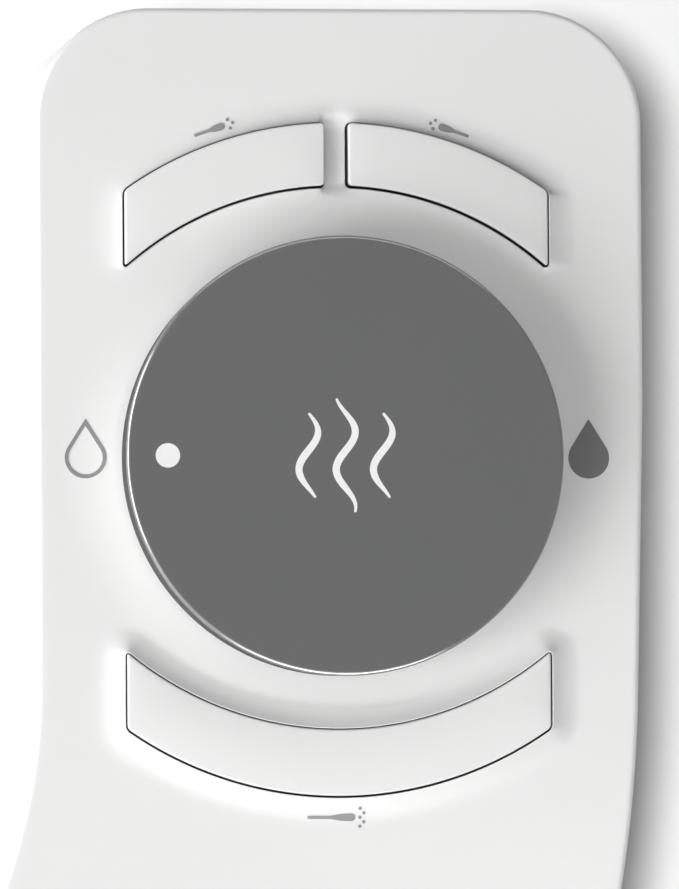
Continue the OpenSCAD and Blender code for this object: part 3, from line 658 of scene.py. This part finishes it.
def make_dial():
    form = Form()
    edge = 0.55
    foot = panel_top + swell_rise + 0.2
    inner_r = dial_r - 3
    ceiling = dial_top - 2.4
    profile = [(0, dial_top), (dial_r - edge - 0.02, dial_top)]
    for k in range(13):
        a = math.radians(90 - 7.5 * k)
        profile.append((dial_r - edge + edge * math.cos(a), dial_top - edge + edge * math.sin(a)))
    profile += [(dial_r - 0.25, foot + 0.2), (dial_r - 0.4, foot), (inner_r, foot),
                (inner_r, ceiling), (0, ceiling)]
    # the wall and underside (the last five bands) take the painted shade: near black in place of
    # the dial's grey
    form.lathe(profile, dial, 256, [0] + [1] * 13 + [2] * 5)
    form.make("dial_knob", [dial_face, dial_edge, dial_wall_painted_shade], "dial", ["dial_cap"], 50)


# ---------- prints ----------

print_sink = 0.02  # how deep a print's foot is let in


def add_print(form, outline, surface, thick, hole=None):
    """A thin print with an outline and perhaps a hole. The function surface gives its height."""

    def wall_of(loop):
        loop = anticlockwise(np.array(loop))
        base = surface(loop)
        top = form.loop(loop, base + thick)
        low = form.loop(loop, base - print_sink)
        form.strip(top, low)
        return top, low

    top, low = wall_of(outline)
    if hole is None:
        form.cap(top)
        form.cap(low)
    else:
        top_in, low_in = wall_of(hole)
        form.strip(top, top_in)
        form.strip(low, low_in)


def make_print(name, look, body, *args):
    form = Form()
    add_print(form, *args)
    form.make(name, look, body)


def drop_loop(centre, g=0.0):
    """A water drop, grown by g: a round foot and straight sides up to a point towards -Y."""
    r = 2.87
    tall = 8.3
    half = math.acos(r / (tall - r))
    a = np.linspace(half, 2 * math.pi - half, 68)
    ring = (r + g) * np.stack([np.sin(a), -np.cos(a)], 1)
    start, end = ring[0], ring[-1]
    point = np.array([0, -(r + g) / math.cos(half)])
    up = [end + (point - end) * t for t in np.linspace(0, 1, 7)[1:]]
    down = [point + (start - point) * t for t in np.linspace(0, 1, 7)[1:-1]]
    return np.array(centre) + np.concatenate([ring, up, down])


def stroke(points, widths):
    """The outline of a line drawn with a changing width and round ends."""
    points = np.array(points, float)
    w = np.interp(np.linspace(0, 1, len(points)), np.linspace(0, 1, len(widths)), widths) / 2
    d = np.gradient(points, axis=0)
    d /= np.linalg.norm(d, axis=1)[:, None]
    n = np.stack([-d[:, 1], d[:, 0]], 1)
    left = points + n * w[:, None]
    right = points - n * w[:, None]

    def cap(p, direction, normal, r):
        a = np.radians(np.linspace(90, -90, 9))[1:-1]
        return [p + r * (math.cos(t) * direction + math.sin(t) * normal) for t in a]

    end = cap(points[-1], d[-1], n[-1], w[-1])
    start = cap(points[0], -d[0], -n[0], w[0])
    return np.concatenate([left, end, right[::-1], start])


def make_prints():
    on_dial = (level(dial_top), 0.06)
    dot = dial + np.array([24.8, 0])
    make_print("dial_pointer_dot", print_white, "dial", arc(dot, 1.7, 0, 360, 48)[:-1], *on_dial)
    # a generic sign for warm water on the dial: three waves
    for k in (-1, 0, 1):
        t = np.linspace(0, 1, 60)
        tall = 15.5 if k == 0 else 11.5
        y = -tall / 2 + tall * t
        x = 5.2 * k + 1.35 * np.sin(2 * math.pi * y / 10.5 + 0.4)
        loop = stroke(np.stack([dial[0] + x, dial[1] + y], 1), [0.35, 0.95, 1.05, 0.95, 0.35])
        make_print(f"dial_wave_{k + 2}", print_white, "dial", loop, *on_dial)
    on_panel = (panel_height, 0.1)
    cold = dial + np.array([35.3, -0.15])
    hot = dial + np.array([-35.45, -0.1])
    hole = drop_loop(cold, -0.5)
    make_print("cold_mark", print_grey, "housing", drop_loop(cold), *on_panel, hole)
    make_print("hot_mark", print_hot, "housing", drop_loop(hot), *on_panel)


def tilted(points, degrees):
    """Points turned anticlockwise about the origin, seen from above."""
    c, s = math.cos(math.radians(degrees)), math.sin(math.radians(degrees))
    return np.array(points) @ np.array([[c, s], [-s, c]])


def make_sign(name, at, degrees, flip, droplets, length):
    """A small printed sign by a key: a spray wand with drops before it. It stands in for a word."""
    form = Form()
    x = np.linspace(-length / 2, length / 2 - 2.6, 12)
    parts = [stroke(np.stack([x, 0 * x], 1), [0.42, 0.42, 0.42, 0.95, 1.05])]
    for k in range(droplets):
        spread = (k - (droplets - 1) / 2) * 0.62
        parts.append(arc((length / 2 - 1.45 + 0.55 * (k % 2), spread), 0.24, 0, 360, 16)[:-1])
    for part in parts:
        part = part * np.array([flip, 1])
        add_print(form, tilted(part, degrees) + dial + np.array(at), panel_height, 0.1)
    form.make(name, print_sign, "housing")


make_arm_cover()
make_arm_base()
for key in key_loops:
    make_key(key)
make_dial()
make_prints()
make_sign("front_key_sign", (16.6, -46.2), 19, -1, 3, 6.4)
make_sign("rear_key_sign", (-15.6, -46.2), -19, 1, 3, 6.4)
make_sign("sanitize_key_sign", (0, 50.0), 0, -1, 5, 8.6)


# ---------- seat and lid ----------

seat_low_corner, seat_high_corner = node_box("seat_top_shell")
seat_half_w = seat_high_corner[0]
seat_reach = -seat_low_corner[1]
seat_front_top = 42
seat_rear_top = 54
seat_mid_y = -270
seat_rear_y = -112
seat_under_z = 14
seat_arch = 18
seat_wall = 2.5
shell_seam = 7
hole_half_w = 108
hole_mid_y = -290
hole_front = 122
hole_rear = 112
pin_r = (pin_high[2] - pin_low[2]) / 2
lug_r = 11
lug_w = 14
seat_lug_x = nose_half_w + 2
lid_lug_x = seat_lug_x + lug_w + 1
lid_grow = 3.9
lid_lift = 3.2
lid_wall = 3.5
lid_crown = 9
lid_skirt = 10
station_count = 216
stations = np.radians((np.arange(station_count) + 0.5) * 360 / station_count)  # round the ring


def signed_power(v, e):
    return np.sign(v) * np.abs(v) ** e


def oval(a, half_w, mid_y, front, rear, n_front, n_rear):
    """Points at angles a on an oval. Its front and rear have their own reach and squareness n."""
    n = np.where(np.sin(a) < 0, n_front, n_rear)
    reach = np.where(np.sin(a) < 0, front, rear)
    x = half_w * signed_power(np.cos(a), 2 / n)
    return np.stack([x, mid_y + reach * signed_power(np.sin(a), 2 / n)], -1)


def seat_edge(a, grow=0.0):
    front = seat_reach + seat_mid_y + grow
    rear = seat_rear_y - seat_mid_y + grow / 2
    return oval(a, seat_half_w + grow, seat_mid_y, front, rear, 2.15, 4)


def hole_edge(a):
    return oval(a, hole_half_w, hole_mid_y, hole_front, hole_rear, 2.15, 2.6)


def seat_top(y):
    """The ring's height, which rises towards the hinge."""
    slope = (seat_rear_top - seat_front_top) / (seat_rear_y + seat_reach)
    return seat_front_top + slope * (y + seat_reach)


def spaced(points, count):
    """The same path with evenly spaced points."""
    steps = along(points)
    at = np.linspace(0, steps[-1], count)
    return np.stack([np.interp(at, steps, points[:, k]) for k in range(points.shape[1])], 1)


def ring_section(a, inset, seam, far, square, count, lip):
    """Points over the ring's section at angle a, from the seam outside to the seam inside."""
    outer, inner = seat_edge(a), hole_edge(a)
    width = np.linalg.norm(outer - inner)
    across = (outer - inner) / width
    phi = np.linspace(0, math.pi, 500)
    u = (width / 2 - inset) * signed_power(np.cos(phi), 2 / square)
    z = seam + (far - seam) * np.abs(np.sin(phi)) ** (2 / square)
    path = spaced(np.stack([u, z], 1), count)
    if lip:
        toward = math.copysign(lip, far - seam)
        path[0] = (path[0][0], seam + toward)
        path[-1] = (path[-1][0], seam + toward)
        path = np.concatenate([[(path[0][0] - lip, seam)], path, [(path[-1][0] + lip, seam)]])
    xy = (outer + inner) / 2 + path[:, :1] * across
    return np.column_stack([xy, path[:, 1]])


def ring_shell(form, square, top):
    """One shell of the seat ring: a skin of thickness seat_wall, with a fine lip along the seam."""
    sections = []
    for a in stations:
        y = (seat_edge(a)[1] + hole_edge(a)[1]) / 2
        under = seat_under_z + seat_arch * smooth((y + 215) / 60)
        seam = under + shell_seam - (0 if top else 0.15)
        far = seat_top(y) if top else under
        within = far - seat_wall if top else far + seat_wall
        outside = ring_section(a, 0, seam, far, square, 60, 0.35)
        inside_skin = ring_section(a, seat_wall, seam, within, square, 36, 0)
        sections.append(form.add(np.concatenate([outside, inside_skin[::-1]])))
    for here, after in zip(sections, sections[1:] + sections[:1]):
        form.strip(here, after)


def rounded(path, times=3):
    """An open path with its corners cut."""
    for _ in range(times):
        near = path[:-1] * 0.75 + path[1:] * 0.25
        far = path[:-1] * 0.25 + path[1:] * 0.75
        path = np.concatenate([path[:1], np.stack([near, far], 1).reshape(-1, 2), path[-1:]])
    return path


def lug(x0, corners, start, end):
    """A soft-edged hinge lug: a boss round the pin, and an arm out to the corners."""
    boss = arc(hinge, lug_r, start, end, 59)
    path = np.concatenate([boss[-1:], np.array(corners), boss[:1]])
    outline = anticlockwise(np.concatenate([boss[:-1], rounded(path)[:-1]]))
    bore = anticlockwise(arc(hinge, pin_r + 0.06, 0, 360, 64)[:-1])
    form = Form()
    ends = quarter(1.2, 6)
    loops = [form.loop(grown(outline, -inset), x0 + depth) for inset, depth in ends[::-1]]
    loops += [form.loop(grown(outline, -inset), x0 + lug_w - depth) for inset, depth in ends]
    holes = [form.loop(bore, at) for at in (x0, x0 + lug_w)]
    for a, b in zip(loops, loops[1:]):
        form.strip(a, b)
    form.strip(holes[0], holes[1])
    for ring, hole, at in ((loops[0], holes[0], x0), (loops[-1], holes[1], x0 + lug_w)):
        form.fill(ring, [hole], [], level(at))
    # drawn in Y and Z, with X as its height
    return form.turned(Matrix(((0, 0, 1, 0), (1, 0, 0, 0), (0, 1, 0, 0), (0, 0, 0, 1))))


# the lugs' corners in Y and Z
seat_lug_corners = ((-112, 49.5), (-118, 43), (-126, 40), (-131, 42),
                    (-131, 49), (-126, 53), (-110, 55), (-100, 64))
lid_lug_corners = ((-110, 54), (-126, 57), (-140, 57.5), (-140, 60.5), (-112, 65))


def make_seat():
    top = Form()
    ring_shell(top, 3, top=True)
    for x0 in (-seat_lug_x - lug_w, seat_lug_x):
        top.include(lug(x0, seat_lug_corners, 137.5, -100.5))
    top.make("seat_ring_top", white_soft, "seat", ["seat_top_shell"], 40)
    bottom = Form()
    ring_shell(bottom, 5, top=False)
    bottom.make("seat_ring_bottom", white_soft, "seat", ["seat_bottom_shell"], 40)


def lean():
    """Turns the closed lid open about the hinge."""
    about = Vector((0, hinge[0], hinge[1]))
    turn = Matrix.Rotation(-lid_open, 4, "X")
    return Matrix.Translation(about) @ turn @ Matrix.Translation(-about)


def make_lid():
    """A crowned panel with a skirt, drawn closed, as rings from its middle out and back under."""
    middle = np.array([0.0, -280.0])
    edge = seat_edge(stations, lid_grow)
    reach = np.linalg.norm(edge - middle, axis=1)[:, None]
    outward = (edge - middle) / reach
    depth = lid_skirt * (1 - smooth((edge[:, 1] + 200) / 45))
    form = Form()

    def ring(inset, drop):
        inset = np.broadcast_to(inset, reach.shape)
        p = edge - inset * outward
        rho = 1 - (inset / reach)[:, 0]
        z = seat_top(p[:, 1]) + lid_lift + lid_wall + lid_crown * (1 - rho ** 2.4) - drop
        return form.add(np.column_stack([p, z]))

    shares = (0.04, 0.1, 0.17, 0.25, 0.34, 0.43, 0.52, 0.61, 0.7, 0.78, 0.85, 0.91, 0.955)
    insets = [(1 - f) * reach for f in shares]
    rings = [ring(inset, 0) for inset in insets]
    rings += [ring(inset, drop) for drop, inset in quarter(2.4, 7)[1:]]
    rings += [ring(inset, lid_wall + depth - lift) for inset, lift in quarter(0.7, 6)]
    for inset, share in ((2.6, 1), (3.4, 0.4), (4.4, 0)):
        rings.append(ring(inset, lid_wall + depth * share))
    rings += [ring(inset, lid_wall) for inset in insets[::-1]]
    for a, b in zip(rings, rings[1:]):
        form.strip(a, b)
    for a, drop in ((rings[0], 0), (rings[-1], lid_wall)):
        z = seat_top(middle[1]) + lid_lift + lid_wall + lid_crown - drop
        centre = form.add([(middle[0], middle[1], z)])[0]
        for i in range(len(a)):
            form.face((a[i], a[(i + 1) % len(a)], centre))
    for x0 in (-lid_lug_x - lug_w, lid_lug_x):
        form.include(lug(x0, lid_lug_corners, 100.5, -100.5))
    form.turned(lean())
    form.make("lid_shell", white_soft, "lid", ["lid_panel"], 40)


def make_hinge_caps():
    """A domed cap over each end of the hinge."""
    low, high = node_box("hinge_caps")
    thick = 2
    edge = 1.3
    r = (high[2] - low[2]) / 2
    base = high[0] - thick
    profile = [(0, 0), (r, 0), (r, thick * 0.35)]
    for k in range(1, 8):
        t = math.radians(90 * k / 7)
        profile.append((r - edge + edge * math.cos(t), thick * 0.35 + thick * 0.5 * math.sin(t)))
    profile += [(r * 0.5, thick * 0.96), (0, thick)]
    form = Form()
    for side in (-1, 1):
        cap = Form()
        cap.lathe(profile, (0, 0), 96)
        cap.turned(Matrix(((0, 0, side, side * base), (0, 1, 0, hinge[0]),
                           (-side, 0, 0, hinge[1]), (0, 0, 0, 1))))
        form.include(cap)
    form.make("hinge_cap_pair", white_soft, "lid", ["hinge_caps"], 40)


# ---------- rear housing ----------


def make_softened(node, name, body, voxel=1.5, passes=4):
    """The CAD node's own form with its edges rounded off by a remesh and some smoothing."""
    source = frame["nodes"][node]
    mesh = source.data.copy()
    mesh.transform(source.matrix_world)
    b = bmesh.new()
    b.from_mesh(mesh)
    bmesh.ops.remove_doubles(b, verts=b.verts, dist=1e-6)
    b.to_mesh(mesh)
    b.free()
    piece = bpy.data.objects.new(name, mesh)
    scene.collection.objects.link(piece)
    remesh = piece.modifiers.new("remesh", "REMESH")
    remesh.mode = "VOXEL"
    remesh.voxel_size = voxel * MM
    relax = piece.modifiers.new("relax", "SMOOTH")
    relax.factor = 0.5
    relax.iterations = passes
    graph = bpy.context.evaluated_depsgraph_get()
    final = bpy.data.meshes.new_from_object(piece.evaluated_get(graph))
    piece.modifiers.clear()
    piece.data = final
    final.name = name
    final.materials.clear()
    final.materials.append(white)
    final.shade_smooth()
    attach(piece, body)
    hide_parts(node)


make_seat()
make_lid()
make_hinge_caps()
make_softened("rear_cover", "rear_cover_shell", "housing")


# ---------- the rest of the CAD nodes ----------

brushed = {"metal": 1.0, "pattern": "brushed"}
looks = {"white_shell": white_soft}
for name, colour, rough, bump, more in (
    ("grey_plastic", (0.12, 0.12, 0.125), 0.45, 0.06, {"grain": 1500}),
    ("natural_plastic", (0.74, 0.71, 0.63), 0.42, 0.04, {"tint": 0.03, "soften": 0.0004}),
    ("soft_rubber", (0.22, 0.23, 0.235), 0.8, 0.12, {"grain": 2400, "soften": 0.0006}),
    ("black_rubber", (0.02, 0.02, 0.021), 0.62, 0.1, {"grain": 2400, "soften": 0.0004}),
    ("steel", (0.62, 0.62, 0.62), 0.28, 0.05, brushed),
    ("zinc_screw", (0.66, 0.67, 0.66), 0.34, 0.05, brushed),
    ("circuit_board", (0.02, 0.14, 0.06), 0.35, 0.3, {"tint": 0.15, "pattern": "tracks"}),
    ("switch_black", (0.03, 0.03, 0.032), 0.5, 0.05, {}),
    ("filter_mesh", (0.45, 0.47, 0.5), 0.35, 0.9, {"metal": 1.0, "pattern": "mesh"}),
    ("heater_foil", (0.55, 0.2, 0.04), 0.4, 0.4, {"pattern": "tracks"}),
    ("clear_cell", (0.5, 0.62, 0.68), 0.2, 0.02, {"coat": 0.4}),
    ("hose_white", (0.8, 0.8, 0.77), 0.5, 0.04, {}),
):
    looks[name] = material(name, colour, rough, bump=bump, **more)
slots = {part["node"]: part["material_slot"] for part in frame["record"]["subparts"]}
for node, piece in frame["nodes"].items():
    look = looks.get(slots[node])
    if look:
        for k in range(len(piece.material_slots)):
            piece.material_slots[k].material = look


# ---------- stage, lights and camera ----------


def make_floor():
    form = Form()
    xs = np.linspace(-40000, 40000, 9)
    rows = [form.add([(x, y, 0) for x in xs]) for y in xs]
    for a, b in zip(rows, rows[1:]):
        form.strip(a, b, closed=False)
    mesh = bpy.data.meshes.new("floor")
    mesh.from_pydata([tuple(c * MM for c in p) for p in form.points], [], form.faces)
    floor = bpy.data.objects.new("floor", mesh)
    scene.collection.objects.link(floor)
    mesh.materials.append(material("floor", (0.86, 0.86, 0.86), 0.7, bump=0.01))
    return floor


def light(name, kind, at, target, power, receivers=None, blockers=None):
    """A light aimed at a target. It lights only its receivers, and only blockers shade them."""
    data = bpy.data.lights.new(name, kind)
    data.energy = power
    lamp = bpy.data.objects.new(name, data)
    scene.collection.objects.link(lamp)
    lamp.location = at
    lamp.rotation_euler = (target - lamp.location).to_track_quat("-Z", "Y").to_euler()
    if receivers:
        lamp.light_linking.receiver_collection = receivers
    if blockers:
        lamp.light_linking.blocker_collection = blockers
    return lamp


def area_light(name, at, target, size, *args):
    lamp = light(name, "AREA", at, target, *args)
    lamp.data.shape = "RECTANGLE"
    lamp.data.size, lamp.data.size_y = size
    lamp.visible_camera = False
    return lamp


floor = make_floor()
panel_mid = Vector((dial[0], dial[1], panel_top)) * MM


def on_arm(piece):
    name = piece.name
    arm_bodies = ("dial", *key_loops)
    return (piece.get("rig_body") in arm_bodies or name.startswith("arm_")
            or name.endswith(("_mark", "_sign")))


def gather(name, pieces):
    """A collection that lights are linked to."""
    group = bpy.data.collections.new(name)
    for piece in pieces:
        group.objects.link(piece)
    return group


pieces = [o for o in scene.objects if o.type == "MESH" and o is not floor]
arm_pieces = [o for o in pieces if on_arm(o)]
floor_only = gather("floor_only", [floor])
arm_only = gather("arm_only", arm_pieces)
body_only = gather("body_only", [o for o in pieces if not on_arm(o)])
dial_only = gather("dial_only", [bpy.data.objects["dial_knob"]])
panel_only = gather("panel_only", [o for o in arm_pieces if o.get("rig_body") != "dial"])

# the arm's own lights: the seat and lid never shade it from them, and the dial only from two
for name, at, size, power, blockers in (
    ("key", (0.8, 0.53, 0.64), 0.9, 14.5, arm_only),
    ("over", (0.1, 0.8, 1.5), 1.2, 4.8, panel_only),
    ("near", (0.05, 0.36, 0.34), 0.4, 0.9, panel_only),
    ("side", (0.85, -0.35, 0.07), 0.35, 2.4, arm_only),
):
    area_light(name, panel_mid + Vector(at), panel_mid, (size, size), power, arm_only, blockers)
# strips that show only as gloss, two of them only on the dial
for name, at, power, seen_by in (
    ("gloss_left", (1.15, 0.1, 0.75), 40, None),
    ("gloss_near", (0.1, 1.15, 0.75), 45, dial_only),
    ("gloss_far", (-0.1, -1.1, 0.8), 8, dial_only),
):
    at = panel_mid + Vector(at)
    strip = area_light(name, at, panel_mid, (1.8, 0.5), power, seen_by, arm_only)
    strip.visible_diffuse = False
# wide lights for the rest of the seat
for name, at, power in (
    ("studio_front", (1.9, -2.2, 2.4), 75),
    ("studio_rear", (-2.0, 1.9, 2.2), 55),
    ("studio_top", (0.2, 0.2, 3.0), 12),
):
    area_light(name, Vector(at), Vector((0, -0.2, 0.1)), (2.2, 2.2), power, body_only)
sun = light("floor_sun", "SUN", panel_mid + Vector((0.53, 0.1, 2.3)), panel_mid, 2.6, floor_only)
sun.data.angle = math.radians(9.5)

world = bpy.data.worlds.new("studio")
scene.world = world
world.use_nodes = True
background = world.node_tree.nodes["Background"]
background.inputs["Color"].default_value = (1, 1, 1, 1)
background.inputs["Strength"].default_value = 0.2
scene.view_settings.view_transform = "Standard"

# the camera looks down on the panel with -X on the right
eye = panel_mid + Vector((0.2, 0.08, 1.6))
view_mid = Vector((dial[0] - 0.35, dial[1] - 2.0, panel_top)) * MM
view_w = 0.0947
back = (eye - view_mid).normalized()
right = Vector((-1, 0, 0)) - back * back.dot(Vector((-1, 0, 0)))
right.normalize()
camera_data = bpy.data.cameras.new("camera")
camera_data.sensor_fit = "HORIZONTAL"
camera_data.sensor_width = 36
camera_data.lens = camera_data.sensor_width * (eye - view_mid).length / view_w
camera_data.clip_start = 0.05
camera_data.clip_end = 200
camera = bpy.data.objects.new("camera", camera_data)
scene.collection.objects.link(camera)
turn = Matrix((right, back.cross(right), back)).transposed().to_4x4()
camera.matrix_world = Matrix.Translation(eye) @ turn
scene.camera = camera
